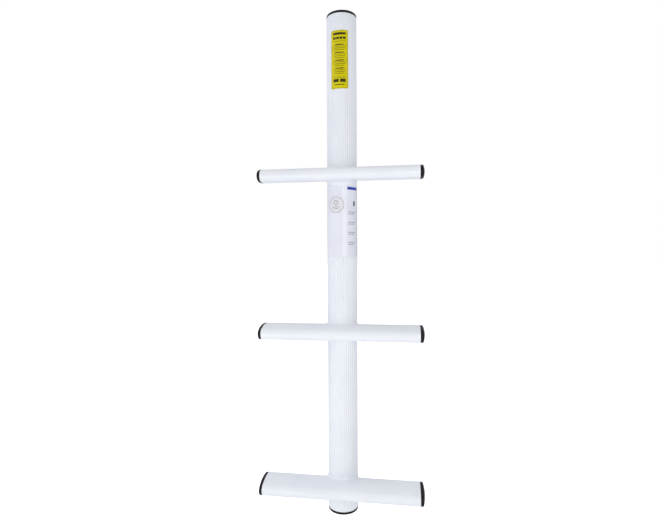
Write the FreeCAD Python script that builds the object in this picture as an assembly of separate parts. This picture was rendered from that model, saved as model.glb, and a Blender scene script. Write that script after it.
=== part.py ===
import FreeCAD, Part
import math
import os

# Single-post dive ladder: one round post, three flat-oval rungs that cross in front of it,
# moulded plugs in every open tube end, a decal and a printed film sleeve on the post.
# Millimetres. X runs along the rungs, -Y is the side a diver climbs, +Z is up.
# The origin is the centre of the flat top face of the post's upper plug, and the ladder
# hangs down from it.

# Post
post_diameter = 57.15
post_wall = 3.2
post_head = 301.0  # from the tube's upper end to the first rung's centre line
post_foot = 48.0  # from the last rung's centre line to the tube's lower end

# Rungs, counted from the top
rung_count = 3
rung_pitch = 294.5
rung_length = 293.0
rung_depth = 57.15
rung_height = 25.4
rung_nose_radius = 11.0
rung_wall = 2.6
rung_reach = 32.5  # centre of a rung's section, in front of the post's axis
rung_tilt = 7.5  # degrees, front edge lower than the back edge

# Weld fillets where a rung meets the post
weld_radius = 5.5
weld_split_height = 6.0  # the bead is laid in four runs that meet this far from mid-section

# Plugs
plug_clearance = 0.15  # between a plug's spigot and the tube around it
plug_spigot_wall = 2.0
post_plug_flange = 4.7
post_plug_edge_radius = 1.6
post_plug_spigot = 22.0
rung_plug_flange = 5.4
rung_plug_crown = 2.7  # how far the middle of the outer face stands out
rung_plug_edge_radius = 1.6
rung_plug_spigot = 18.0

# Glue line under the decal, the sleeve and the seal
glue_line = 0.03

# Decal on the front of the post
decal_width = 33.0  # along the curve
decal_height = 108.0
decal_drop = 33.0  # from the tube's upper end to the decal's top edge
decal_turn = -1.4  # degrees round the post from its front, positive towards +X
decal_thickness = 0.12

# Film sleeve round the post, below the first rung
sleeve_gap = 0.7  # from the foot of the weld under that rung to the sleeve's top edge
sleeve_height = 135.0
sleeve_thickness = 0.2

# Round seal stuck on the sleeve
seal_diameter = 31.0
seal_drop = 37.0  # from the sleeve's top edge to the seal's centre
seal_turn = -17.0  # degrees, as for the decal
seal_thickness = 0.12

post_radius = post_diameter / 2
post_bore_radius = post_radius - post_wall
tube_top = -post_plug_flange
tube_bottom = tube_top - post_head - (rung_count - 1) * rung_pitch - post_foot
rung_half = rung_length / 2
sleeve_top = tube_top - post_head - rung_height / 2 - weld_radius - sleeve_gap
film_seat_radius = post_radius + glue_line
sleeve_radius = film_seat_radius + sleeve_thickness
seal_seat_radius = sleeve_radius + glue_line

ORIGIN = FreeCAD.Vector(0, 0, 0)
X_AXIS = FreeCAD.Vector(1, 0, 0)
Z_AXIS = FreeCAD.Vector(0, 0, 1)

os.makedirs("parts", exist_ok=True)


def save(name, shape):
    """Write one solid to its own file."""
    solids = shape.Solids
    assert len(solids) == 1, name + " is " + str(len(solids)) + " solids"
    assert solids[0].isValid(), name + " is not valid"
    solids[0].exportStep("parts/" + name + ".step")
    print(name, round(solids[0].Volume, 1))


def upright_bar(radius, bottom, top):
    """Round bar on the post's axis."""
    return Part.makeCylinder(radius, top - bottom, FreeCAD.Vector(0, 0, bottom))


def upright_tube(inner, outer, bottom, top):
    """Round tube on the post's axis."""
    return upright_bar(outer, bottom, top).cut(upright_bar(inner, bottom, top))


def oval_face(inset, x):
    """Flat-oval section at x, made of four tangent arcs, centred on the X axis.

    inset draws the same oval that much smaller all round, for a bore or a spigot.
    """
    nose = rung_nose_radius - inset
    half_height = rung_height / 2 - inset
    centre = rung_depth / 2 - rung_nose_radius
    broad = (centre**2 + half_height**2 - nose**2) / (2 * (half_height - nose))
    # the arcs meet on the line from a broad arc's centre through a nose's centre
    meet_y = centre + nose * centre / (broad - nose)
    meet_z = nose * (broad - half_height) / (broad - nose)
    tip = centre + nose

    def point(y, z):
        return FreeCAD.Vector(x, y, z)

    top = Part.Arc(point(-meet_y, meet_z), point(0, half_height), point(meet_y, meet_z))
    back = Part.Arc(point(meet_y, meet_z), point(tip, 0), point(meet_y, -meet_z))
    base = Part.Arc(point(meet_y, -meet_z), point(0, -half_height), point(-meet_y, -meet_z))
    front = Part.Arc(point(-meet_y, -meet_z), point(-tip, 0), point(-meet_y, meet_z))
    return Part.Face(Part.Wire([arc.toShape() for arc in (top, back, base, front)]))


def oval_bar(inset, start, end):
    """Flat-oval bar along the X axis between two stations."""
    return oval_face(inset, start).extrude(FreeCAD.Vector(end - start, 0, 0))


def place_on_rung(shape, index):
    """Tilt a shape made on the X axis and carry it to a rung's centre line."""
    placed = shape.copy()
    placed.rotate(ORIGIN, X_AXIS, rung_tilt)
    placed.translate(FreeCAD.Vector(0, -rung_reach, rung_level(index)))
    return placed


def rung_level(index):
    """Z of a rung's centre line."""
    return tube_top - post_head - index * rung_pitch


def mirror_in_x(shape):
    """The same shape on the other side of the post."""
    return shape.mirror(ORIGIN, X_AXIS)


def make_post():
    """Straight round tube, open at both ends."""
    return upright_tube(post_bore_radius, post_radius, tube_bottom, tube_top)


def make_post_plug():
    """Plug with a flat round flange over the tube's upper end and a hollow spigot in its bore."""
    flange = upright_bar(post_radius, tube_top, 0)
    rim = [edge for edge in flange.Edges if abs(edge.CenterOfMass.z) < 1e-6 and edge.Closed]
    flange = flange.makeFillet(post_plug_edge_radius, rim)
    outer = post_bore_radius - plug_clearance
    spigot = upright_tube(outer - plug_spigot_wall, outer, tube_top - post_plug_spigot, tube_top)
    return flange.fuse(spigot).removeSplitter()


def turn_over(plug):
    """The plug made for the tube's upper end, turned over into its lower end."""
    turned = plug.copy()
    turned.rotate(FreeCAD.Vector(0, 0, (tube_top + tube_bottom) / 2), X_AXIS, 180)
    return turned


def make_rung(index):
    """Flat-oval tube, notched at the back to saddle the front half of the post."""
    outside = oval_bar(0, -rung_half, rung_half)
    bore = oval_bar(rung_wall, -rung_half, rung_half)
    post = upright_bar(post_radius, tube_bottom, tube_top)
    return place_on_rung(outside.cut(bore), index).cut(post)


def crown_radius(reach):
    """Radius of an arc that drops by the plugs' crown over a reach from its middle."""
    return (reach**2 + rung_plug_crown**2) / (2 * rung_plug_crown)


def make_rung_plug():
    """Plug for the +X end: a domed flange of the tube's own outline and a hollow spigot.

    The dome is the outside of a ring round an upright axis. It drops by the crown towards the
    front and the back, and by as much towards the top and the bottom.
    """
    crown_x = rung_half + rung_plug_flange + rung_plug_crown
    along = crown_radius(rung_depth / 2)
    across = crown_radius(rung_height / 2)
    dome = Part.makeTorus(along - across, across, FreeCAD.Vector(crown_x - along, 0, 0), Z_AXIS)
    flange = oval_bar(0, rung_half, crown_x).common(dome)
    rim = [edge for edge in flange.Edges if edge.BoundBox.XMin > rung_half + rung_plug_flange / 2]
    flange = flange.makeFillet(rung_plug_edge_radius, rim)
    inset = rung_wall + plug_clearance
    inner_end = rung_half - rung_plug_spigot
    spigot = oval_bar(inset, inner_end, rung_half)
    spigot = spigot.cut(oval_bar(inset + plug_spigot_wall, inner_end, rung_half))
    return flange.fuse(spigot).removeSplitter()


def seam_edges(joined, rung):
    """The edges of post and rung taken as one that lie on both of their surfaces."""
    seam = []
    skin = rung.Shells[0]
    for edge in joined.Edges:
        first, last = edge.ParameterRange
        points = [edge.valueAt(first + (last - first) * share) for share in (0.2, 0.5, 0.8)]
        on_post = all(abs(math.hypot(p.x, p.y) - post_radius) < 0.01 for p in points)
        on_rung = all(skin.distToShape(Part.Vertex(p))[0] < 0.01 for p in points)
        if on_post and on_rung:
            seam.append(edge)
    return seam


def make_welds(index):
    """Four bead runs round one joint, by name.

    The whole bead is what a fillet adds to post and rung taken as one. It is parted by two
    planes level with the rung's section, and the middle part is a run on each side.
    """
    level = rung_level(index)
    post = upright_bar(post_radius, level - rung_depth, level + rung_depth)
    rung = place_on_rung(oval_bar(0, -rung_half, rung_half), index)
    joined = post.fuse(rung)
    bead = joined.makeFillet(weld_radius, seam_edges(joined, rung)).cut(post).cut(rung)
    side = 2 * rung_depth
    corner = FreeCAD.Vector(-side / 2, -side / 2, weld_split_height)
    above = place_on_rung(Part.makeBox(side, side, side, corner), index)
    corner.z = -weld_split_height - side
    below = place_on_rung(Part.makeBox(side, side, side, corner), index)
    runs = {"upper": bead.common(above), "lower": bead.common(below)}
    for solid in bead.cut(above).cut(below).Solids:
        runs["left" if solid.CenterOfMass.x < 0 else "right"] = solid
    return runs


def post_patch(inner, thickness, top, height, middle_turn, width):
    """Thin curved sheet on the post: a part of a tube, as wide along its inner curve."""
    sweep = math.degrees(width / inner)
    base = FreeCAD.Vector(0, 0, top - height)
    ring = Part.makeCylinder(inner + thickness, height, base, Z_AXIS, sweep)
    ring = ring.cut(upright_bar(inner, top - height, top))
    # the sheet starts on the +X side, and the post's front is at -90 degrees from there
    ring.rotate(ORIGIN, Z_AXIS, middle_turn - 90 - sweep / 2)
    return ring


def make_decal():
    """Rectangular decal on the front of the post."""
    top = tube_top - decal_drop
    return post_patch(
        film_seat_radius, decal_thickness, top, decal_height, decal_turn, decal_width
    )


def make_sleeve():
    """Film sleeve, shrunk on the post."""
    return upright_tube(film_seat_radius, sleeve_radius, sleeve_top - sleeve_height, sleeve_top)


def make_seal():
    """Round seal on the sleeve, cut from a square patch by a round punch from the front."""
    level = sleeve_top - seal_drop
    side = 2 * seal_diameter
    top = level + side / 2
    patch = post_patch(seal_seat_radius, seal_thickness, top, side, seal_turn, side)
    turn = math.radians(seal_turn)
    outward = FreeCAD.Vector(math.sin(turn), -math.cos(turn), 0)
    start = FreeCAD.Vector(0, 0, level)
    return patch.common(Part.makeCylinder(seal_diameter / 2, post_diameter, start, outward))


save("post_tube", make_post())
post_plug = make_post_plug()
save("post_plug_upper", post_plug)
save("post_plug_lower", turn_over(post_plug))
rung_plug = make_rung_plug()
for index in range(rung_count):
    rung = "rung_" + str(index + 1)
    save(rung, make_rung(index))
    save(rung + "_plug_right", place_on_rung(rung_plug, index))
    save(rung + "_plug_left", place_on_rung(mirror_in_x(rung_plug), index))
    for run, bead in make_welds(index).items():
        save(rung + "_weld_" + run, bead)
save("decal", make_decal())
save("label_sleeve", make_sleeve())
save("sleeve_seal", make_seal())
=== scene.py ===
"""The finished look of a single-post dive ladder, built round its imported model.

One round fluted post, three flat-oval rungs with ribbed treads that cross in front of it, weld beads,
moulded plugs in the tube ends, a yellow decal, and a printed film sleeve with a round seal.
Metres. +X runs along the rungs, -Y is the side a diver climbs and +Z is up. The origin is the
centre of the upper plug's top face, and azimuths are measured round the post from its front
towards +X.
"""
import math

import bpy
import numpy as np
from bpy.props import FloatProperty, FloatVectorProperty, IntProperty, PointerProperty
from bpy.types import Operator, Panel, PropertyGroup
from mathutils import Matrix, Vector


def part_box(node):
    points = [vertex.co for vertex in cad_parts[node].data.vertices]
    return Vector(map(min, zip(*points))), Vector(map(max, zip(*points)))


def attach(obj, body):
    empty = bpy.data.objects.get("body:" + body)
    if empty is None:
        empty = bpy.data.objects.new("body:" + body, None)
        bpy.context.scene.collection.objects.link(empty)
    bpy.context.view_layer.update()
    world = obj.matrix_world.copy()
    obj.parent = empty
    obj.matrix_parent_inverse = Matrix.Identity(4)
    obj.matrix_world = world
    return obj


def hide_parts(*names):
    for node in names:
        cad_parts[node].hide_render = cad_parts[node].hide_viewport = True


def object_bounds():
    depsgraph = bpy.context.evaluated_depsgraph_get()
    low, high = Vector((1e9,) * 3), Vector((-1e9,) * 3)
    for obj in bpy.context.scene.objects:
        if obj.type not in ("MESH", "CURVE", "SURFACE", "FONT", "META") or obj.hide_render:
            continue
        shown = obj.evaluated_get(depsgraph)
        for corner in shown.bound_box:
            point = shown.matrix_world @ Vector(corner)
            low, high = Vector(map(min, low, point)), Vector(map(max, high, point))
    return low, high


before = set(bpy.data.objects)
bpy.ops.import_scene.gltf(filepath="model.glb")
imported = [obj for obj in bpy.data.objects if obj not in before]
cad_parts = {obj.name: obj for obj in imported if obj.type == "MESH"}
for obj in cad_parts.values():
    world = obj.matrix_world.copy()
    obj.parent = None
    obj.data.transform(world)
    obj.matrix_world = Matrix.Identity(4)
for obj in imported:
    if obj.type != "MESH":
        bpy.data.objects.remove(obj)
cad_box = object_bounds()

bl_info = {
    "name": "Dive ladder",
    "version": (1, 0, 0),
    "blender": (4, 5, 0),
    "location": "3D View > Sidebar > Dive ladder",
    "description": "Builds the finished look of a single-post dive ladder on its packed model",
    "category": "Add Mesh",
}

MM = 0.001
BODY = "root"
RUNGS = sorted(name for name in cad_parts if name[:5] == "rung_" and name[5:].isdigit())
WELD_RUNS = ("upper", "lower", "left", "right")
CREASE = 30  # degrees between two faces, past which the edge between them is sharp
WHITE = (1.0, 1.0, 1.0, 1.0)
PRINT_SINK = 0.02 * MM  # how far a printed mark goes into the vinyl under it


def number(name, value, description, **settings):
    """Property for a number, with settings such as its unit."""
    return FloatProperty(name=name, description=description, default=value, **settings)


def length(name, millimetres, description):
    """Property for a length, with its default given in millimetres."""
    shown = {"precision": 5, "subtype": "DISTANCE", "unit": "LENGTH"}
    return number(name, millimetres * MM, description, **shown)


def angle(name, degrees, description):
    """Property for an angle, with its default given in degrees."""
    return number(name, math.radians(degrees), description, subtype="ANGLE", unit="ROTATION")


def vector(name, value, description, **settings):
    """Property for several numbers, with settings such as their unit."""
    return FloatVectorProperty(name=name, description=description, default=value, **settings)


def location(name, value, description):
    """Property for a place, in metres."""
    return vector(name, value, description, subtype="TRANSLATION", unit="LENGTH")


def colour(name, value, description):
    """Property for an opaque colour, in linear light."""
    limits = {"size": 4, "min": 0.0, "max": 1.0, "subtype": "COLOR"}
    return vector(name, (*value, 1.0), description, **limits)


class LadderSizes(PropertyGroup):
    """Sizes of the ladder's details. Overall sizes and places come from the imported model."""

    flute_count: IntProperty(
        name="Flutes", description="Flutes round the post", default=40, min=3
    )
    flute_depth: length("Flute depth", 0.85, "How far a flute's valley lies under its crests")
    post_wall: length("Post wall", 3.2, "Wall of the post's tube")
    tube_chamfer: length("Tube chamfer", 0.4, "Chamfer on the sawn ends of the tubes")

    rung_depth: length("Rung depth", 57.15, "Flat-oval section, from front to back")
    rung_height: length("Rung height", 25.4, "Flat-oval section, from top to bottom")
    rung_nose: length("Rung nose radius", 11.0, "Radius of the section's front and back")
    rung_tilt: angle("Rung tilt", 7.5, "How far the front of a rung leans down")
    rung_wall: length("Rung wall", 2.6, "Wall of a rung's tube")
    tread_width: length("Tread width", 41.8, "Ribbed part of a rung's top, from front to back")
    rib_count: IntProperty(name="Ribs", description="Ribs along a tread", default=19, min=1)
    rib_depth: length("Rib depth", 0.35, "How far the grooves between ribs go down")

    weld_radius: length("Weld radius", 5.5, "Hollow of the bead between rung and post")
    weld_fullness: length("Weld fullness", 0.15, "How far the bead fills that hollow")
    ripple_pitch: length("Ripple pitch", 3.0, "From one ripple of a bead to the next")
    ripple_height: length("Ripple height", 0.05, "Height of a ripple, softened by the coat")

    plug_edge: length("Post plug edge", 1.6, "Rounding of the post plugs' rims")
    rung_plug_edge: length("Rung plug edge", 1.6, "Rounding of the rung plugs' rims")
    rung_plug_crown: length("Rung plug crown", 2.7, "How far the plugs' outer faces bulge")
    plug_clearance: length("Plug clearance", 0.15, "Between a plug's spigot and its tube")
    spigot_wall: length("Spigot wall", 2.0, "Wall of the plugs' hollow spigots")
    gate_radius: length("Gate radius", 2.0, "Dimple where the plug was moulded")
    gate_depth: length("Gate depth", 0.3, "Depth of that dimple")

    vinyl_thickness: length("Vinyl thickness", 0.12, "Thickness of the decal and the seal")
    print_thickness: length("Print thickness", 0.03, "Thickness of a printed mark")
    decal_corner: length("Decal corner", 2.0, "Corner radius of the decal")
    film_thickness: length("Film thickness", 0.2, "Thickness of the film sleeve")
    film_lap: length("Film lap", 9.0, "Width of the sleeve's lapped seam, at the back")


class LadderColours(PropertyGroup):
    """Colours of the ladder's finishes."""

    coat: colour("Powder coat", (0.80, 0.83, 0.89), "White powder coat on post, rungs and welds")
    coat_shade: colour("Coat shade", (0.765, 0.795, 0.865), "Where the coat is a little thinner")
    plug: colour("Plug", (0.002, 0.002, 0.003), "Black moulded plastic")
    plug_shade: colour("Plug shade", (0.005, 0.005, 0.006), "Where the plastic is rubbed")
    decal: colour("Decal", (0.66, 0.58, 0.0), "Yellow vinyl")
    decal_shade: colour("Decal shade", (0.58, 0.50, 0.0), "Where the yellow ink is thicker")
    decal_ink: colour("Decal print", (0.045, 0.040, 0.006), "Dark print on the decal")
    film: colour("Film", (0.77, 0.79, 0.875), "White film sleeve")
    film_shade: colour("Film shade", (0.735, 0.755, 0.855), "Where the film is drawn tight")
    blue_ink: colour("Blue print", (0.03, 0.06, 0.45), "Blue bar on the sleeve")
    grey_ink: colour("Grey print", (0.25, 0.26, 0.30), "Grey rules on the sleeve and the seal")
    black_ink: colour("Black print", (0.03, 0.03, 0.04), "Dark block on the sleeve")
    seal: colour("Seal", (0.74, 0.74, 0.79), "Pale vinyl of the round seal")


class LadderStudio(PropertyGroup):
    """Floor, light and camera."""

    floor_drop: length("Floor drop", 250.0, "How far the floor lies below the ladder")
    floor_width: length("Floor width", 60000.0, "Width and depth of the floor")
    floor_colour: colour("Floor", (0.80, 0.80, 0.825), "Plain pale floor")
    floor_glow: number("Floor glow", 0.14, "Light that the floor gives off")
    floor_white: number("Floor white", 0.5, "What lifts the floor to white in a picture")
    sky_towards: vector("Sky right, back and top", (0.34, 0.13, 0.765), "Light from +X, +Y and +Z")
    sky_away: vector("Sky left and front", (0.875, 0.0, 0.0), "Light from -X and -Y")
    sky_tint: colour("Sky tint", (0.985, 0.98, 1.0), "Colour of the light from all round")
    lamp_size: length("Lamp size", 700.0, "Side of the square lamps")
    left_lamp_place: location(
        "Left lamp place", (-0.6, -1.1, -0.85), "Where the lamp to the camera's left hangs"
    )
    left_lamp_power: number("Left lamp power", 2.9, "Power of that lamp", unit="POWER")
    left_lamp_tint: colour("Left lamp tint", (0.97, 1.0, 0.94), "Colour of that lamp")
    right_lamp_place: location(
        "Right lamp place", (0.48, -1.1, -0.45), "Where the lamp to the camera's right hangs"
    )
    right_lamp_power: number("Right lamp power", 4.0, "Power of that lamp", unit="POWER")
    right_lamp_tint: colour("Right lamp tint", (1.0, 0.99, 0.88), "Colour of that lamp")
    camera_place: location("Camera place", (0.10997, -0.90052, -0.45454), "Where the camera stands")
    camera_turn: angle("Camera turn", 8.354, "Turn to the left from looking along +Y")
    camera_dip: angle("Camera dip", 0.992, "How far the camera looks down")
    camera_roll: angle("Camera roll", -0.266, "Roll about the line of sight")
    camera_lens: number("Lens", 25.511, "Focal length", unit="CAMERA")


def outward(points, faces):
    """A closed surface with its faces turned outwards.

    The volume under the faces is the sum over their triangles of the first corner times the cross
    product of the other two. Where it comes out negative, every face is turned over.
    """
    volume = 0.0
    for group in faces:
        first = points[group[:, :1].repeat(group.shape[1] - 2, axis=1)]
        second = points[group[:, 1:-1]]
        volume += np.sum(first * np.cross(second, points[group[:, 2:]]))
    return points, faces if volume > 0 else [group[:, ::-1] for group in faces]


def quads_between(rows, columns, close_columns):
    """Corner numbers of the quads of a grid that joins its last row to its first."""
    row = np.arange(rows)[:, None]
    column = np.arange(columns if close_columns else columns - 1)[None, :]
    next_row = (row + 1) % rows
    next_column = (column + 1) % columns
    corners = np.broadcast_arrays(
        row * columns + column,
        next_row * columns + column,
        next_row * columns + next_column,
        row * columns + next_column,
    )
    return np.stack(corners, axis=-1).reshape(-1, 4)


def ring_surface(grid):
    """Closed surface of a grid that meets itself in both directions, as a ring does."""
    rows, columns, _ = grid.shape
    return outward(grid.reshape(-1, 3), [quads_between(rows, columns, True)])


def capped_surface(grid, start, end):
    """Closed surface of a grid whose rows go round, with a point beyond each end of them."""
    rows, columns, _ = grid.shape
    points = np.concatenate([grid.reshape(-1, 3), [start, end]])
    first = np.arange(rows) * columns
    last = first + columns - 1
    start_number = np.full(rows, rows * columns)
    near = np.stack([np.roll(first, -1), first, start_number], axis=-1)
    far = np.stack([last, np.roll(last, -1), start_number + 1], axis=-1)
    return outward(points, [quads_between(rows, columns, False), near, far])


def bar_surface(grid):
    """Closed surface of four-cornered sections in a row, with a flat face at each end."""
    stations = len(grid)
    ring = quads_between(stations, 4, True)[: (stations - 1) * 4]
    last = (stations - 1) * 4
    ends = np.array([[0, 1, 2, 3], [last + 3, last + 2, last + 1, last]])
    return outward(grid.reshape(-1, 3), [ring, ends])


def joined(surfaces):
    """Several closed surfaces as one."""
    starts = np.cumsum([0] + [len(points) for points, _ in surfaces])
    points = np.concatenate([points for points, _ in surfaces])
    faces = []
    for start, (_, groups) in zip(starts, surfaces):
        faces += [group + start for group in groups]
    return points, faces


def mesh_of(name, surface, crease):
    """Mesh of a surface, smooth except where faces turn by more than the crease, in degrees."""
    points, faces = surface
    corners = np.concatenate([group.ravel() for group in faces])
    counts = np.concatenate([np.full(len(group), group.shape[1]) for group in faces])
    mesh = bpy.data.meshes.new(name)
    mesh.vertices.add(len(points))
    mesh.loops.add(len(corners))
    mesh.polygons.add(len(counts))
    mesh.vertices.foreach_set("co", points.astype(np.float32).ravel())
    mesh.loops.foreach_set("vertex_index", corners.astype(np.int32))
    mesh.polygons.foreach_set("loop_start", (np.cumsum(counts) - counts).astype(np.int32))
    mesh.update(calc_edges=True)
    mesh.shade_smooth()
    mesh.set_sharp_from_angle(angle=math.radians(crease))
    return mesh


def put(name, data):
    """New object in the scene."""
    made = bpy.data.objects.new(name, data)
    bpy.context.collection.objects.link(made)
    return made


def show(name, surface, material, nodes=(), crease=CREASE):
    """Put a piece of the ladder in the scene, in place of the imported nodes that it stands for."""
    piece = put(name, mesh_of(name, surface, crease))
    piece.data.materials.append(material)
    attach(piece, BODY)
    if nodes:
        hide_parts(*nodes)
    return piece


def wrapped(azimuth, radius, height):
    """Points round the post's axis, from azimuth, distance from the axis and height."""
    x = radius * np.sin(azimuth)
    y = -radius * np.cos(azimuth)
    return np.stack(np.broadcast_arrays(x, y, height), axis=-1)


def post_radius():
    """Radius of the post's tube, over the crests of its flutes."""
    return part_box("post_tube")[1].x


def post_surface(sizes, samples_per_flute=12):
    """Fluted tube: a profile carried round the post's axis.

    The outside lies at radius - depth * (1 - |cos(flutes * azimuth / 2)|). A profile point has a
    share of that outside, the rest being the bore, an inset towards the axis and a height.
    """
    low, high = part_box("post_tube")
    samples = sizes.flute_count * samples_per_flute
    azimuth = np.arange(samples)[:, None] * 2 * math.pi / samples
    drop = sizes.flute_depth * (1 - np.abs(np.cos(sizes.flute_count * azimuth / 2)))
    bevel = sizes.tube_chamfer
    profile = np.array([
        (1, 0, low.z + bevel),
        (1, 0, high.z - bevel),
        (1, bevel, high.z),
        (0, -bevel, high.z),
        (0, 0, high.z - bevel),
        (0, 0, low.z + bevel),
        (0, -bevel, low.z),
        (1, bevel, low.z),
    ])
    share, inset, height = profile.T
    bore = high.x - sizes.post_wall
    radius = share * (high.x - drop) + (1 - share) * bore - inset
    return ring_surface(wrapped(azimuth, radius, height))


def section_arcs(sizes):
    """Four measures of the flat oval: nose centre, nose radius, broad radius and lean.

    The lean is how far from upright the normal leans where a broad arc meets a nose.
    """
    nose = sizes.rung_nose
    half_height = sizes.rung_height / 2
    centre = sizes.rung_depth / 2 - nose
    broad = (centre**2 + half_height**2 - nose**2) / (2 * (half_height - nose))
    return centre, nose, broad, math.asin(centre / (broad - nose))


def oval(direction, inset, sizes):
    """Points (back, up) of the flat-oval section, by the direction of its outward normal.

    Four arcs meet smoothly. Within the lean from straight up or down, a point is the broad arc's
    centre plus its radius times the normal, and elsewhere the nose's centre plus its radius times
    the normal. The inset then moves it back along the normal. Direction 0 points back, 90
    degrees up.
    """
    centre, nose, broad, lean = section_arcs(sizes)
    back, up = np.cos(direction), np.sin(direction)
    on_nose = np.abs(back) > math.sin(lean)
    sink = np.sign(up) * (broad - sizes.rung_height / 2)
    section_back = np.where(on_nose, np.sign(back) * centre + nose * back, broad * back)
    section_up = np.where(on_nose, nose * up, broad * up - sink)
    return section_back - inset * back, section_up - inset * up


def rung_centre(name):
    """Middle of a rung's section, as y and z."""
    low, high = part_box(name)
    return (low.y + high.y) / 2, (low.z + high.z) / 2


def on_rung(x, back, up, name, sizes):
    """Points of a rung's section carried to the rung: leaned by the tilt and moved to its centre."""
    centre_y, centre_z = rung_centre(name)
    cosine, sine = math.cos(sizes.rung_tilt), math.sin(sizes.rung_tilt)
    y = centre_y + back * cosine - up * sine
    z = centre_z + back * sine + up * cosine
    return np.stack(np.broadcast_arrays(x, y, z), axis=-1)


def top_direction(back, sizes):
    """Direction of the normal on a rung's top, at a distance back from its middle.

    It is the arc cosine of that distance from the arc's centre over the arc's radius.
    """
    centre, nose, broad, lean = section_arcs(sizes)
    on_nose = np.abs(back) > broad * math.sin(lean)
    away = np.where(on_nose, back - np.sign(back) * centre, back)
    return np.arccos(away / np.where(on_nose, nose, broad))


def tread_section(sizes, samples_per_rib=10, nose_samples=36, base_samples=30):
    """Normal directions round a rung's outside, and how far the tread's grooves go down there.

    Over the tread the grooves are rib depth * (1 - |cos(pi * u)|), where u counts ribs from the
    back. The rest of the section is plain.
    """
    lean = section_arcs(sizes)[3]
    half_tread = sizes.tread_width / 2
    samples = sizes.rib_count * samples_per_rib
    share = np.arange(samples) / samples
    tread = top_direction(half_tread - share * sizes.tread_width, sizes)
    grooves = sizes.rib_depth * (1 - np.abs(np.cos(math.pi * sizes.rib_count * share)))
    corners = [
        top_direction(-half_tread, sizes),
        3 * math.pi / 2 - lean,
        3 * math.pi / 2 + lean,
        2 * math.pi + top_direction(half_tread, sizes),
    ]
    spans = zip(corners, corners[1:], (nose_samples, base_samples, nose_samples))
    plain = np.concatenate([np.linspace(a, b, n, endpoint=False) for a, b, n in spans])
    return np.append(tread, plain), np.append(grooves, np.zeros_like(plain))


def tread_surface(name, sizes, end_piece=40 * MM):
    """Flat-oval tube with a ribbed tread: a profile along X carried round the section.

    A profile point has a station along X, an inset from the outside, and a share of the grooves.
    One line of the mesh goes round the tube at end_piece from each end.
    """
    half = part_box(name)[1].x
    bevel = sizes.tube_chamfer
    wall = sizes.rung_wall
    right = [
        (half - end_piece, 0, 1),
        (half - bevel, 0, 1),
        (half, bevel, 1),
        (half, wall - bevel, 0),
        (half - bevel, wall, 0),
    ]
    left = [(-x, inset, share) for x, inset, share in reversed(right)]
    station, inset, share = np.array(right + left).T
    direction, grooves = tread_section(sizes)
    back, up = oval(direction[:, None], inset + share * grooves[:, None], sizes)
    return ring_surface(on_rung(station, back, up, name, sizes))


def cut_saddle(rung, name, sizes, stations=256):
    """Cut the post's round out of the back of a rung."""
    _, level = rung_centre(name)
    azimuth = np.arange(stations)[:, None] * 2 * math.pi / stations
    height = level + np.array([-sizes.rung_depth, sizes.rung_depth])
    grid = wrapped(azimuth, post_radius(), height)
    surface = capped_surface(grid, (0, 0, height[0]), (0, 0, height[1]))
    cutter = put("saddle", mesh_of("saddle", surface, CREASE))
    cut = rung.modifiers.new("Saddle", "BOOLEAN")
    cut.operation = "DIFFERENCE"
    cut.solver = "EXACT"
    cut.object = cutter
    shaped = rung.evaluated_get(bpy.context.evaluated_depsgraph_get())
    notched = bpy.data.meshes.new_from_object(shaped)
    rung.modifiers.remove(cut)
    bpy.data.objects.remove(cutter)
    if len(notched.polygons) <= len(rung.data.polygons) // 2:
        raise RuntimeError(name + " was not notched")
    notched.set_sharp_from_angle(angle=math.radians(CREASE))
    rung.data = notched


def seam_line(name, sizes, stations, coarse=2001, fine=4001):
    """The closed line where a rung's outside meets the post, evenly divided.

    Half of it follows the section's normal from the top, round the back, to the bottom, with x the
    root of radius squared less y squared. The other half is its mirror image. Returns the points,
    the outward normals of post and rung there, and the line's length.
    """
    radius = post_radius()

    def section(direction):
        back, up = oval(direction - sizes.rung_tilt, 0.0, sizes)
        return on_rung(0.0, back, up, name, sizes)

    down = np.linspace(math.pi, 0, coarse)
    first = np.interp(-radius, section(down)[:, 1], down)
    last = np.interp(-radius, section(-down)[:, 1], -down)
    share = (1 - np.cos(np.linspace(0, math.pi, fine))) / 2
    direction = first + (last - first) * share
    half = section(direction)
    half[:, 0] = np.sqrt(np.maximum(radius**2 - half[:, 1] ** 2, 0))
    other = half[::-1] * (-1, 1, 1)
    line = np.concatenate([half, other[1:]])
    turn = np.concatenate([direction, direction[-2::-1]])
    travel = np.append(0, np.cumsum(np.linalg.norm(np.diff(line, axis=0), axis=1)))
    even = np.arange(stations) * travel[-1] / stations
    points = np.stack([np.interp(even, travel, line[:, axis]) for axis in range(3)], axis=-1)
    turn = np.interp(even, travel, turn)
    post_normal = points * (1, 1, 0)
    post_normal /= np.linalg.norm(post_normal, axis=1, keepdims=True)
    rung_normal = np.stack([np.zeros_like(turn), np.cos(turn), np.sin(turn)], axis=-1)
    return points, post_normal, rung_normal, travel[-1]


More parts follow.
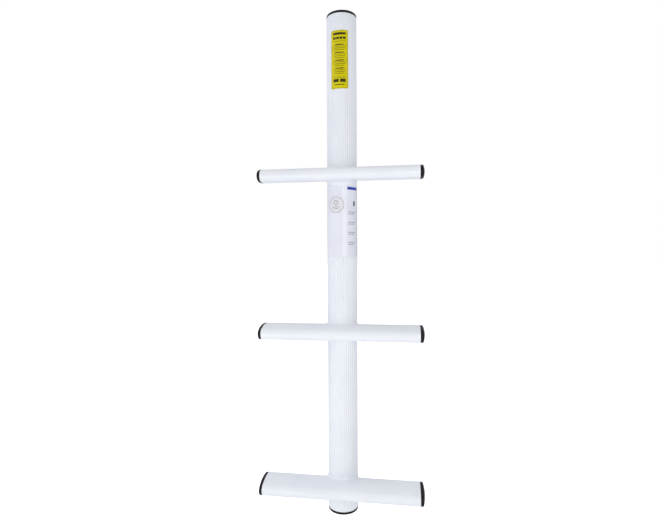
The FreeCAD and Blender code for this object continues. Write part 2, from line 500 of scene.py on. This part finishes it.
def weld_surface(name, sizes, stations=640, columns=15):
    """Weld bead: a hollow section carried along the seam.

    A ball of the weld's radius rests against both surfaces at each station, and the bead's face is
    the arc of the ball between its two touching points, filled by fullness * sin(pi * share) and
    by ripples that bow along the seam. The bead's edges and root are tucked under the flutes and
    ribs.
    """
    points, post_normal, rung_normal, total = seam_line(name, sizes, stations)
    along = np.arange(stations)[:, None] / stations * 2 * math.pi
    share = np.linspace(0, 1, columns)[None, :, None]
    post_normal, rung_normal = post_normal[:, None], rung_normal[:, None]
    tangent = np.cross(post_normal, rung_normal)
    tangent /= np.linalg.norm(tangent, axis=-1, keepdims=True)
    opening = np.arccos(np.sum(post_normal * rung_normal, axis=-1, keepdims=True))
    uneven = 1 + 0.04 * np.sin(5 * along + 0.7) + 0.03 * np.sin(13 * along)
    radius = sizes.weld_radius * uneven[:, :, None]
    leg = radius * np.tan(opening / 2)
    root = points[:, None]
    centre = root + leg * np.cross(rung_normal, tangent) + radius * rung_normal
    towards = np.sin((1 - share) * opening) * rung_normal + np.sin(share * opening) * post_normal
    towards /= np.sin(opening)
    ripples = round(total / sizes.ripple_pitch)
    bow = 1.2 * (2 * share - 1) ** 2
    wave = 0.5 + 0.5 * np.cos(ripples * along[:, :, None] - bow * 2 * math.pi)
    fill = np.sin(math.pi * share) * (sizes.weld_fullness + sizes.ripple_height * wave)
    face = centre - towards * (radius - fill)
    tuck = 1.5 * max(sizes.flute_depth, sizes.rib_depth)
    under_rung = face[:, :1] - tuck * rung_normal
    under_post = face[:, -1:] - tuck * post_normal
    deep = root - tuck * (post_normal + rung_normal)
    return ring_surface(np.concatenate([under_rung, face, under_post, deep], axis=1))


def quarter(samples=8):
    """Angles of a quarter turn."""
    return np.linspace(0, math.pi / 2, samples)


def gate_rings(sizes):
    """Rings of a moulding gate's dimple, from its middle outwards: radii, and how deep each lies."""
    radii = sizes.gate_radius * np.array([0.6, 1.0, 1.2])
    return radii, sizes.gate_depth * np.array([1.0, 0.3, 0.0])


def crown_radius(reach, crown):
    """Radius of a plug face's arc, which drops by the crown over a reach from its middle."""
    return (reach**2 / crown + crown) / 2


def post_plug_surface(end, side, sizes, stations=192, lip=0.2 * MM):
    """Plug for an end of the post: a profile of (distance from the axis, height) carried round it.

    The face has a gate dimple and a quarter-round rim, and the hollow spigot goes down the bore.
    Heights are measured from the tube's end, and side is 1 for the upper end and -1 for the lower.
    The lip is the chamfer at the flange's foot, and four times it is that at the spigot's end.
    """
    radius = post_radius()
    low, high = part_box("post_plug_upper")
    tube_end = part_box("post_tube")[1].z
    flange, spigot_end = high.z - tube_end, low.z - tube_end
    edge = sizes.plug_edge
    outer = radius - sizes.post_wall - sizes.plug_clearance
    inner = outer - sizes.spigot_wall
    gate, sink = gate_rings(sizes)
    turn = quarter()
    rim = np.stack([radius - edge + edge * np.sin(turn), flange - edge + edge * np.cos(turn)], -1)
    profile = np.concatenate([
        np.stack([gate, flange - sink], axis=-1),
        [(0.6 * radius, flange)],
        rim,
        [(radius, lip), (radius - lip, 0), (outer, 0), (outer, spigot_end + 4 * lip)],
        [(outer - 4 * lip, spigot_end), (inner, spigot_end), (inner, 0)],
    ])
    azimuth = np.arange(stations)[:, None] * 2 * math.pi / stations
    grid = wrapped(azimuth, profile[:, 0], end + side * profile[:, 1])
    return capped_surface(grid, (0, 0, end + side * (flange - sink[0])), (0, 0, end))


def rung_plug_surface(name, side, sizes, stations=160, lip=0.2 * MM):
    """Plug for an end of a rung: rings of the flat oval, from the face's middle to the spigot.

    The face is the outside of a ring round an upright axis, with arcs that drop by the crown over
    half the depth and half the height: at (back, up) it lies at the root of (along - across + root
    of (across squared - up squared)) squared - back squared, less along. Each ring has a share of
    the oval's size, an inset and a station along X.
    """
    tube_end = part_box(name)[1].x
    low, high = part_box(name + "_plug_right")
    along = crown_radius(sizes.rung_depth / 2, sizes.rung_plug_crown)
    across = crown_radius(sizes.rung_height / 2, sizes.rung_plug_crown)
    edge = sizes.rung_plug_edge
    outer = sizes.rung_wall + sizes.plug_clearance
    inner = outer + sizes.spigot_wall
    turn = quarter()
    station = high.x - edge * (1 - np.cos(turn))
    rim = np.stack([np.ones_like(turn), edge * (1 - np.sin(turn)), station], axis=-1)
    face = [(size, 0, high.x) for size in (0.35, 0.6, 0.8)]
    flange = np.concatenate([face, rim])
    skirt = np.array([
        (1, 0, tube_end + lip),
        (1, lip, tube_end),
        (1, outer, tube_end),
        (1, outer, low.x + 4 * lip),
        (1, outer + 4 * lip, low.x),
        (1, inner, low.x),
        (1, inner, tube_end),
        (0.5, inner, tube_end),
    ])
    _, nose, broad, lean = section_arcs(sizes)
    nose_turn = math.pi / 2 - lean
    turns = np.array([nose_turn, 2 * lean, 2 * nose_turn, 2 * lean, nose_turn])
    travel = np.append(0, np.cumsum(turns * (nose, broad, nose, broad, nose)))
    even = np.arange(stations)[:, None] * travel[-1] / stations
    direction = np.interp(even, travel, np.append(0, np.cumsum(turns)))

    def rings(columns, bulged):
        size, inset, station = columns.T
        back, up = oval(direction, inset, sizes)
        back, up = back * size, up * size
        drop = along - np.sqrt((along - across + np.sqrt(across**2 - up**2)) ** 2 - back**2)
        return back, up, station - bulged * drop

    polar = np.arctan2(*oval(direction, 0.0, sizes)[::-1])
    radii, sink = gate_rings(sizes)
    depth = np.broadcast_to(high.x - sink, (stations, len(sink)))
    gate = (np.cos(polar) * radii, np.sin(polar) * radii, depth)
    parts = [gate, rings(flange, 1.0), rings(skirt, 0.0)]
    back, up, station = (np.concatenate([part[axis] for part in parts], axis=1) for axis in range(3))
    grid = on_rung(side * station, back, up, name, sizes)
    start = on_rung(side * (high.x - sink[0]), 0.0, 0.0, name, sizes)
    end = on_rung(side * tube_end, 0.0, 0.0, name, sizes)
    return capped_surface(grid, start, end)


def patch_place(node):
    """A patch on the post's front: middle azimuth, level, half width, half height, outer radius.

    The half width is along the curve.
    """
    low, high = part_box(node)
    outer = -low.y
    left, right = math.asin(low.x / outer), math.asin(high.x / outer)
    half_width, half_height = (right - left) / 2 * outer, (high.z - low.z) / 2
    return (left + right) / 2, (low.z + high.z) / 2, half_width, half_height, outer


def rounded_outline(half_width, half_height, corner, samples=200):
    """Rectangle with round corners, evenly divided, as (across, up) from its middle."""
    turn = np.radians([[0], [90], [180], [270]]) + quarter()
    side, side_up = np.array([[1], [-1], [-1], [1]]), np.array([[1], [1], [-1], [-1]])
    across = (side * (half_width - corner) + corner * np.cos(turn)).ravel()
    up = (side_up * (half_height - corner) + corner * np.sin(turn)).ravel()
    across, up = np.append(across, across[0]), np.append(up, up[0])
    travel = np.append(0, np.cumsum(np.hypot(np.diff(across), np.diff(up))))
    even = np.arange(samples) * travel[-1] / samples
    return np.interp(even, travel, across), np.interp(even, travel, up)


def patch_surface(middle, level, outline, seat, outer, rings=14):
    """Thin sheet on the post within an outline of (azimuth, up) about its middle.

    Its rings are the outline times a growing size, outside, and the same rings back, inside.
    """
    azimuth, up = outline
    size = np.linspace(1 / rings, 1, rings)
    size = np.append(size, size[::-1])
    radius = np.repeat([outer, seat], rings)
    grid = wrapped(middle + azimuth[:, None] * size, radius, level + up[:, None] * size)
    ends = wrapped(np.array([middle, middle]), np.array([outer, seat]), level)
    return capped_surface(grid, ends[0], ends[1])


def hoop_surface(middle, level, outside, inside, seat, outer):
    """Thin printed line on the post, between two outlines of (azimuth, up)."""
    azimuth = np.stack([outside[0], outside[0], inside[0], inside[0]], axis=-1)
    up = np.stack([outside[1], outside[1], inside[1], inside[1]], axis=-1)
    radius = np.array([seat, outer, outer, seat])
    return ring_surface(wrapped(middle + azimuth, radius, level + up))


def strip_surface(left, right, low, high, seat, outer):
    """Thin printed strip on the post, between two azimuths and two heights."""
    stations = max(2, math.ceil((right - left) * outer / (1.2 * MM)) + 1)
    azimuth = np.linspace(left, right, stations)[:, None]
    radius = np.array([seat, outer, outer, seat])
    height = np.array([low, low, high, high])
    return bar_surface(wrapped(azimuth, radius, height))


def disc_outline(radius, seat, samples=96):
    """Circle seen from the front of the post, as (azimuth, up).

    The azimuth is the arc sine of radius * cosine / seat.
    """
    turn = np.arange(samples) * 2 * math.pi / samples
    return np.arcsin(radius * np.cos(turn) / seat), radius * np.sin(turn)


def decal_marks(sizes, border=1.1 * MM, line=0.35 * MM):
    """Plain bars and rules printed on the decal, within a thin border.

    A bar is given in millimetres, by the place of its middle, across and up from the decal's own
    middle, and by its width and height.
    """
    middle, level, half_width, half_height, outer = patch_place("decal")
    seat, top = outer - PRINT_SINK, outer + sizes.print_thickness

    def outline(gap):
        corner = sizes.decal_corner - gap
        across, up = rounded_outline(half_width - gap, half_height - gap, corner)
        return across / outer, up

    def bar(across, up, width, height):
        start = middle + (across - width / 2) * MM / outer
        end = middle + (across + width / 2) * MM / outer
        base = level + (up - height / 2) * MM
        return strip_surface(start, end, base, base + height * MM, seat, top)

    bars = [(0, 47.5, 24, 4.2)]
    bars += [(across, 39.5, 5.2, 4.4) for across in (-9.4, -3.1, 3.1, 9.4)]
    bars.append((0, 33.6, 24, 0.7))
    for heading in (27.5, 12.9, -1.7, -16.3):
        bars.append((0, heading, 17, 1.7))
        bars += [(0, heading - 3.2, 23.5, 0.75), (0, heading - 6.4, 21, 0.75)]
        bars.append((0, heading - 9.6, 18.5, 0.75))
    bars.append((0, -33.2, 24, 0.7))
    bars += [(across, -39.0, 10.4, 6.0) for across in (-6.5, 6.5)]
    bars.append((0, -46.6, 18, 1.5))
    frame_line = hoop_surface(middle, level, outline(border), outline(border + line), seat, top)
    return joined([frame_line, *(bar(*measures) for measures in bars)])


def sleeve_surface(sizes, stations=480, rows=40):
    """Film sleeve: a thin shell round the post with a lapped seam at the back.

    Its outside lies under the sleeve's radius, drawn down a little over the flutes and by slow
    waves, and rises to that radius over the lap. Its edges wave by 0.3 mm.
    """
    low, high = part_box("label_sleeve")
    azimuth = np.linspace(-math.pi, math.pi, stations, endpoint=False)[:, None]
    share = np.linspace(0, 1, rows)
    drawn = 0.05 * MM * (1 - np.abs(np.cos(sizes.flute_count * azimuth / 2)))
    slow = 0.04 * MM * (np.sin(3 * azimuth + 5 * share) + np.sin(7 * azimuth - 9 * share))
    half_lap = sizes.film_lap / 2 / high.x
    ramp = 0.6 * MM / high.x
    from_back = math.pi - np.abs(azimuth)
    lap = np.clip((half_lap - from_back) / ramp, 0, 1)
    outside = high.x - (0.02 * MM + (0.08 * MM + drawn + slow) * (1 - lap))
    inside = np.full((stations, rows), high.x - sizes.film_thickness)
    radius = np.concatenate([outside, inside], axis=1)
    swing = 0.3 * MM
    top = high.z - swing * (1 + np.sin(4 * azimuth + 1))
    bottom = low.z + swing * (1 + np.sin(5 * azimuth))
    height = bottom + (top - bottom) * share
    height = np.concatenate([height, height[:, ::-1]], axis=1)
    return ring_surface(wrapped(azimuth, radius, height))


def sleeve_marks(sizes, sink=0.15 * MM):
    """A blue bar, a dark block and grey rules printed on the sleeve.

    A block is given by its left and right azimuth in degrees, how far its top lies under the
    sleeve's top edge and its height, both in millimetres.
    """
    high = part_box("label_sleeve")[1]
    seat, top = high.x - sink, high.x + sizes.print_thickness

    def block(left, right, down, height):
        edge = high.z - down * MM
        left, right = math.radians(left), math.radians(right)
        return strip_surface(left, right, edge - height * MM, edge, seat, top)

    rules = []
    for down in (50, 69, 88, 107):
        rules += [block(30, 66, down, 1.1), block(30, 57, down + 3.6, 1.1)]
    return block(27, 76, 3.6, 5.2), block(54, 62, 30, 9), joined(rules)


def seal_marks(sizes):
    """A thin edge line, a small ring and two rules printed on the seal.

    A ring is given by its outer radius, the width of its line and how far up its middle lies, and
    a rule by its width, its height and how far up its lower edge lies.
    """
    middle, level, _, radius, outer = patch_place("sleeve_seal")
    seat, top = outer - PRINT_SINK, outer + sizes.print_thickness

    def ring(outside, width, up):
        lines = [disc_outline(size, outer) for size in (outside, outside - width)]
        return hoop_surface(middle, level + up, lines[0], lines[1], seat, top)

    def rule(width, height, up):
        half = width / 2 / outer
        base = level + up
        return strip_surface(middle - half, middle + half, base, base + height, seat, top)

    return joined([
        ring(radius - 0.5 * MM, 0.6 * MM, 0),
        ring(4.2 * MM, 1.1 * MM, 4.0 * MM),
        rule(15 * MM, 0.9 * MM, -4.6 * MM),
        rule(10 * MM, 0.9 * MM, -7.4 * MM),
    ])


def set_inputs(node, values):
    """Give inputs of a node their values, by the inputs' names or numbers."""
    for label, value in values.items():
        node.inputs[label].default_value = value


def shader_node(tree, kind, values=None, **settings):
    """New node in a tree, with its settings and with values for its inputs."""
    made = tree.nodes.new(kind)
    for setting, value in settings.items():
        setattr(made, setting, value)
    set_inputs(made, values or {})
    return made


def wire(source, output, target, entry):
    """Link an output of a node to an input of another."""
    source.id_data.links.new(source.outputs[output], target.inputs[entry])


def start_group(name, numbers, results):
    """Shader group that takes a position and numbers, with their defaults, and gives numbers."""
    group = bpy.data.node_groups.new(name, "ShaderNodeTree")
    group.interface.new_socket("Position", in_out="INPUT", socket_type="NodeSocketVector")
    for label, value in numbers.items():
        socket = group.interface.new_socket(label, in_out="INPUT", socket_type="NodeSocketFloat")
        socket.default_value = value
    for label in results:
        group.interface.new_socket(label, in_out="OUTPUT", socket_type="NodeSocketFloat")
    return group, group.nodes.new("NodeGroupInput"), group.nodes.new("NodeGroupOutput")


def skin_relief():
    """Shader group: height of a sprayed or moulded skin, fine grain over broader waves."""
    name = "Skin relief"
    if name in bpy.data.node_groups:
        return bpy.data.node_groups[name]
    numbers = {"Grains per metre": 2500.0, "Waves per metre": 600.0, "Grain share": 0.3}
    group, given, result = start_group(name, numbers, ["Height"])
    grain = shader_node(group, "ShaderNodeTexNoise", {"Detail": 1.0})
    waves = shader_node(group, "ShaderNodeTexNoise", {"Detail": 1.0})
    mix = shader_node(group, "ShaderNodeMix", data_type="FLOAT")
    wire(given, "Position", grain, "Vector")
    wire(given, "Position", waves, "Vector")
    wire(given, "Grains per metre", grain, "Scale")
    wire(given, "Waves per metre", waves, "Scale")
    wire(given, "Grain share", mix, "Factor")
    wire(waves, "Fac", mix, "A")
    wire(grain, "Fac", mix, "B")
    wire(mix, "Result", result, "Height")
    return group


def handling_marks():
    """Shader group: clouds of faint smudging and short fine scuffs, each from 0 to 1."""
    name = "Handling marks"
    if name in bpy.data.node_groups:
        return bpy.data.node_groups[name]
    numbers = {"Clouds per metre": 22.0, "Scuffs per metre": 90.0}
    group, given, result = start_group(name, numbers, ["Clouds", "Scuffs"])
    clouds = shader_node(group, "ShaderNodeTexNoise", {"Detail": 4.0, "Roughness": 0.55})
    scuffs = shader_node(group, "ShaderNodeTexNoise", {"Detail": 3.0})
    stretched = {"Rotation": (0.4, 0.7, 0.2), "Scale": (1.0, 1.0, 0.12)}
    stretch = shader_node(group, "ShaderNodeMapping", stretched)
    wire(given, "Position", clouds, "Vector")
    wire(given, "Position", stretch, "Vector")
    wire(stretch, "Vector", scuffs, "Vector")
    for noise, label, least, most in ((clouds, "Clouds", 0.38, 0.68), (scuffs, "Scuffs", 0.6, 0.74)):
        limits = {"From Min": least, "From Max": most}
        kept = shader_node(group, "ShaderNodeMapRange", limits, interpolation_type="SMOOTHSTEP")
        wire(given, label + " per metre", noise, "Scale")
        wire(noise, "Fac", kept, "Value")
        wire(kept, "Result", result, label)
    return group


def start_material(name, values):
    """New material, and its shader with plain values for some inputs."""
    material = bpy.data.materials.new(name)
    material.use_nodes = True
    shader = material.node_tree.nodes["Principled BSDF"]
    set_inputs(shader, values)
    return material, shader


def finish(name, main, shade, specular, roughness, relief, marks):
    """Material with a mottled colour, uneven gloss and a fine relief.

    specular is the shader's specular level. roughness is its least and most, relief is grains and
    waves per metre, the grain's share and the height in metres, and marks is clouds and scuffs
    per metre.
    """
    if name in bpy.data.materials:
        return bpy.data.materials[name]
    material, shader = start_material(name, {"Specular IOR Level": specular})
    tree = material.node_tree
    place = shader_node(tree, "ShaderNodeTexCoord")
    clouds, scuffs = marks
    density = {"Clouds per metre": clouds, "Scuffs per metre": scuffs}
    handled = shader_node(tree, "ShaderNodeGroup", density, node_tree=handling_marks())
    wire(place, "Object", handled, "Position")

    # a mix node has a socket of each name for every kind of data, and these are its colours
    colour_a, colour_b, colour_result = 6, 7, 2
    shades = {colour_a: main, colour_b: shade}
    mottled = shader_node(tree, "ShaderNodeMix", shades, data_type="RGBA")
    wire(handled, "Clouds", mottled, 0)
    wire(mottled, colour_result, shader, "Base Color")

    least, most = roughness
    gloss = shader_node(tree, "ShaderNodeMapRange", {"To Min": least, "To Max": most})
    wire(handled, "Scuffs", gloss, "Value")
    wire(gloss, "Result", shader, "Roughness")

    grains, waves, grain_share, height = relief
    scale = {"Grains per metre": grains, "Waves per metre": waves, "Grain share": grain_share}
    skin = shader_node(tree, "ShaderNodeGroup", scale, node_tree=skin_relief())
    bump = shader_node(tree, "ShaderNodeBump", {"Distance": height})
    wire(place, "Object", skin, "Position")
    wire(skin, "Height", bump, "Height")
    wire(bump, "Normal", shader, "Normal")
    return material


def powder_coat(colours):
    """White powder coat: satin, with the shallow orange peel of a baked powder."""
    relief, marks = (2600.0, 620.0, 0.2, 0.00006), (16.0, 70.0)
    return finish("powder_coat", colours.coat, colours.coat_shade, 0.5, (0.30, 0.40), relief, marks)


def plug_plastic(colours):
    """Black moulded plastic with a fine spark-eroded grain."""
    relief, marks = (4200.0, 1500.0, 0.6, 0.00005), (60.0, 160.0)
    return finish("plug_plastic", colours.plug, colours.plug_shade, 0.2, (0.42, 0.60), relief, marks)


def decal_vinyl(colours):
    """Yellow printed vinyl."""
    relief, marks = (3000.0, 300.0, 0.15, 0.00003), (45.0, 120.0)
    return finish("decal_vinyl", colours.decal, colours.decal_shade, 0.25, (0.30, 0.42), relief, marks)


def printed_ink(name, value):
    """Ink laid thinly on vinyl or film."""
    shade = [0.8 * part for part in value[:3]] + [1.0]
    relief, marks = (5000.0, 900.0, 0.5, 0.00001), (80.0, 200.0)
    return finish(name, value, shade, 0.25, (0.35, 0.5), relief, marks)


def shrink_film(colours):
    """White shrink film, glossier than the coat under it."""
    relief, marks = (900.0, 120.0, 0.15, 0.00008), (30.0, 60.0)
    return finish("shrink_film", colours.film, colours.film_shade, 0.45, (0.18, 0.30), relief, marks)


def seal_sheet(colours):
    """Pale grey vinyl of the round seal."""
    shade = [0.94 * part for part in colours.seal[:3]] + [1.0]
    relief, marks = (3000.0, 300.0, 0.15, 0.00003), (60.0, 120.0)
    return finish("seal_sheet", colours.seal, shade, 0.4, (0.25, 0.35), relief, marks)


class MakePost(Operator):
    """Make the fluted tube of the post"""

    bl_idname = "dive_ladder.make_post"
    bl_label = "Post"

    def execute(self, context):
        scene = context.scene
        surface = post_surface(scene.ladder_sizes)
        coat = powder_coat(scene.ladder_colours)
        show("post_fluted", surface, coat, ["post_tube"], crease=18)
        return {"FINISHED"}


class MakeRungs(Operator):
    """Make the three ribbed rungs, notched round the post"""

    bl_idname = "dive_ladder.make_rungs"
    bl_label = "Rungs"

    def execute(self, context):
        scene = context.scene
        sizes = scene.ladder_sizes
        coat = powder_coat(scene.ladder_colours)
        for name in RUNGS:
            surface = tread_surface(name, sizes)
            rung = show(name + "_tread", surface, coat, [name])
            cut_saddle(rung, name, sizes)
        return {"FINISHED"}


class MakeWelds(Operator):
    """Make the weld bead round each joint of rung and post"""

    bl_idname = "dive_ladder.make_welds"
    bl_label = "Welds"

    def execute(self, context):
        scene = context.scene
        coat = powder_coat(scene.ladder_colours)
        for name in RUNGS:
            surface = weld_surface(name, scene.ladder_sizes)
            runs = [name + "_weld_" + run for run in WELD_RUNS]
            show(name + "_weld_bead", surface, coat, runs)
        return {"FINISHED"}


class MakePlugs(Operator):
    """Make the black plugs in the ends of the post and the rungs"""

    bl_idname = "dive_ladder.make_plugs"
    bl_label = "Plugs"

    def execute(self, context):
        scene = context.scene
        sizes = scene.ladder_sizes
        plastic = plug_plastic(scene.ladder_colours)
        low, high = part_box("post_tube")
        for node, end, side in (("post_plug_upper", high.z, 1), ("post_plug_lower", low.z, -1)):
            surface = post_plug_surface(end, side, sizes)
            show(node + "_cap", surface, plastic, [node])
        for name in RUNGS:
            for hand, side in (("_plug_left", -1), ("_plug_right", 1)):
                surface = rung_plug_surface(name, side, sizes)
                show(name + hand + "_cap", surface, plastic, [name + hand])
        return {"FINISHED"}


class MakeDecal(Operator):
    """Make the yellow decal and its plain print"""

    bl_idname = "dive_ladder.make_decal"
    bl_label = "Decal"

    def execute(self, context):
        sizes = context.scene.ladder_sizes
        colours = context.scene.ladder_colours
        middle, level, half_width, half_height, outer = patch_place("decal")
        across, up = rounded_outline(half_width, half_height, sizes.decal_corner)
        seat = outer - sizes.vinyl_thickness
        surface = patch_surface(middle, level, (across / outer, up), seat, outer)
        show("decal_face", surface, decal_vinyl(colours), ["decal"])
        ink = printed_ink("decal_ink", colours.decal_ink)
        show("decal_print", decal_marks(sizes), ink)
        return {"FINISHED"}


class MakeSleeve(Operator):
    """Make the film sleeve and its plain print"""

    bl_idname = "dive_ladder.make_sleeve"
    bl_label = "Film sleeve"

    def execute(self, context):
        sizes = context.scene.ladder_sizes
        colours = context.scene.ladder_colours
        film = shrink_film(colours)
        show("sleeve_film", sleeve_surface(sizes), film, ["label_sleeve"], crease=50)
        blue, dark, grey = sleeve_marks(sizes)
        show("sleeve_print_blue", blue, printed_ink("blue_ink", colours.blue_ink))
        show("sleeve_print_dark", dark, printed_ink("black_ink", colours.black_ink))
        show("sleeve_print_grey", grey, printed_ink("grey_ink", colours.grey_ink))
        return {"FINISHED"}


class MakeSeal(Operator):
    """Make the round seal on the sleeve"""

    bl_idname = "dive_ladder.make_seal"
    bl_label = "Seal"

    def execute(self, context):
        sizes = context.scene.ladder_sizes
        colours = context.scene.ladder_colours
        middle, level, _, radius, outer = patch_place("sleeve_seal")
        seat = outer - sizes.vinyl_thickness
        surface = patch_surface(middle, level, disc_outline(radius, outer), seat, outer)
        show("seal_face", surface, seal_sheet(colours), ["sleeve_seal"])
        ink = printed_ink("grey_ink", colours.grey_ink)
        show("seal_print", seal_marks(sizes), ink)
        return {"FINISHED"}


def light_studio(studio):
    """Soft light from all round on a plain white backdrop.

    The light from direction d is the sum of d's positive parts times sky_towards and its negative
    parts times sky_away, each along X, Y and Z. The camera sees white.
    """
    world = bpy.data.worlds.new("Studio")
    bpy.context.scene.world = world
    world.use_nodes = True
    tree = world.node_tree
    tree.nodes.clear()
    place = shader_node(tree, "ShaderNodeTexCoord")
    both = shader_node(tree, "ShaderNodeMath", operation="ADD")
    for entry, (sign, weights) in enumerate(((1, studio.sky_towards), (-1, studio.sky_away))):
        turned = shader_node(tree, "ShaderNodeVectorMath", {"Scale": sign}, operation="SCALE")
        kept = shader_node(tree, "ShaderNodeVectorMath", operation="MAXIMUM")
        share = shader_node(tree, "ShaderNodeVectorMath", {1: weights}, operation="DOT_PRODUCT")
        wire(place, "Generated", turned, 0)
        wire(turned, "Vector", kept, 0)
        wire(kept, "Vector", share, 0)
        wire(share, "Value", both, entry)
    light = shader_node(tree, "ShaderNodeBackground", {"Color": studio.sky_tint})
    backdrop = shader_node(tree, "ShaderNodeBackground", {"Color": WHITE})
    seen = shader_node(tree, "ShaderNodeLightPath")
    mix = shader_node(tree, "ShaderNodeMixShader")
    output = shader_node(tree, "ShaderNodeOutputWorld")
    wire(both, "Value", light, "Strength")
    wire(seen, "Is Camera Ray", mix, "Fac")
    wire(light, "Background", mix, 1)
    wire(backdrop, "Background", mix, 2)
    wire(mix, "Shader", output, "Surface")


def hang_lamp(name, place, power, tint, size):
    """Large square lamp that faces the middle of the ladder."""
    lamp = bpy.data.lights.new(name, "AREA")
    lamp.shape = "SQUARE"
    lamp.size = size
    lamp.energy = power
    lamp.color = tint[:3]
    holder = put(name, lamp)
    middle = (Vector(cad_box[0]) + Vector(cad_box[1])) / 2
    holder.location = place
    holder.rotation_euler = (middle - Vector(place)).to_track_quat("-Z", "Y").to_euler()
    holder.visible_camera = False


def lay_floor(studio):
    """Plain pale floor below the ladder, which the camera sees as white."""
    half = studio.floor_width / 2
    level = cad_box[0].z - studio.floor_drop
    mesh = bpy.data.meshes.new("floor")
    corners = [(-half, -half, level), (half, -half, level), (half, half, level), (-half, half, level)]
    mesh.from_pydata(corners, [], [(0, 1, 2, 3)])
    floor = put("floor", mesh)
    values = {
        "Base Color": studio.floor_colour,
        "Roughness": 1.0,
        "Specular IOR Level": 0.0,
        "Emission Color": WHITE,
    }
    material, shader = start_material("floor", values)
    tree = material.node_tree
    seen = shader_node(tree, "ShaderNodeLightPath")
    lifts = {1: studio.floor_white, 2: studio.floor_glow}
    lift = shader_node(tree, "ShaderNodeMath", lifts, operation="MULTIPLY_ADD")
    wire(seen, "Is Camera Ray", lift, 0)
    wire(lift, "Value", shader, "Emission Strength")
    mesh.materials.append(material)


def stand_camera(studio):
    """Camera at the photograph's viewing angle: turned about Z, dipped and rolled."""
    lens = bpy.data.cameras.new("camera")
    lens.sensor_width = 36.0
    lens.lens = studio.camera_lens
    camera = put("camera", lens)
    camera.matrix_world = (
        Matrix.Translation(studio.camera_place)
        @ Matrix.Rotation(studio.camera_turn, 4, "Z")
        @ Matrix.Rotation(math.pi / 2 - studio.camera_dip, 4, "X")
        @ Matrix.Rotation(studio.camera_roll, 4, "Z")
    )
    bpy.context.scene.camera = camera


class MakeStage(Operator):
    """Make the floor, the light and the camera"""

    bl_idname = "dive_ladder.make_stage"
    bl_label = "Stage"

    def execute(self, context):
        studio = context.scene.ladder_studio
        context.scene.view_settings.view_transform = "Standard"
        light_studio(studio)
        left = (studio.left_lamp_place, studio.left_lamp_power, studio.left_lamp_tint)
        right = (studio.right_lamp_place, studio.right_lamp_power, studio.right_lamp_tint)
        hang_lamp("lamp_left", *left, studio.lamp_size)
        hang_lamp("lamp_right", *right, studio.lamp_size)
        lay_floor(studio)
        stand_camera(studio)
        return {"FINISHED"}


class LadderPanel(Panel):
    """Sizes, colours and steps of the dive ladder"""

    bl_idname = "VIEW3D_PT_dive_ladder"
    bl_label = "Dive ladder"
    bl_space_type = "VIEW_3D"
    bl_region_type = "UI"
    bl_category = "Dive ladder"

    def draw(self, context):
        scene = context.scene
        for step in STEPS:
            self.layout.operator(step.bl_idname)
        for group in (scene.ladder_sizes, scene.ladder_colours, scene.ladder_studio):
            box = self.layout.box()
            for name in group.__annotations__:
                box.prop(group, name)


GROUPS = (LadderSizes, LadderColours, LadderStudio)
STEPS = (MakePost, MakeRungs, MakeWelds, MakePlugs, MakeDecal, MakeSleeve, MakeSeal, MakeStage)


def register():
    """Make the classes and the scene's property groups known."""
    for kind in (*GROUPS, *STEPS, LadderPanel):
        bpy.utils.register_class(kind)
    bpy.types.Scene.ladder_sizes = PointerProperty(type=LadderSizes)
    bpy.types.Scene.ladder_colours = PointerProperty(type=LadderColours)
    bpy.types.Scene.ladder_studio = PointerProperty(type=LadderStudio)


def unregister():
    """Take them away again."""
    del bpy.types.Scene.ladder_studio
    del bpy.types.Scene.ladder_colours
    del bpy.types.Scene.ladder_sizes
    for kind in reversed((*GROUPS, *STEPS, LadderPanel)):
        bpy.utils.unregister_class(kind)


def main():
    """Build the ladder and its stage."""
    register()
    bpy.ops.dive_ladder.make_post()
    bpy.ops.dive_ladder.make_rungs()
    bpy.ops.dive_ladder.make_welds()
    bpy.ops.dive_ladder.make_plugs()
    bpy.ops.dive_ladder.make_decal()
    bpy.ops.dive_ladder.make_sleeve()
    bpy.ops.dive_ladder.make_seal()
    bpy.ops.dive_ladder.make_stage()
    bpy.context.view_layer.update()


if __name__ == "__main__":
    main()
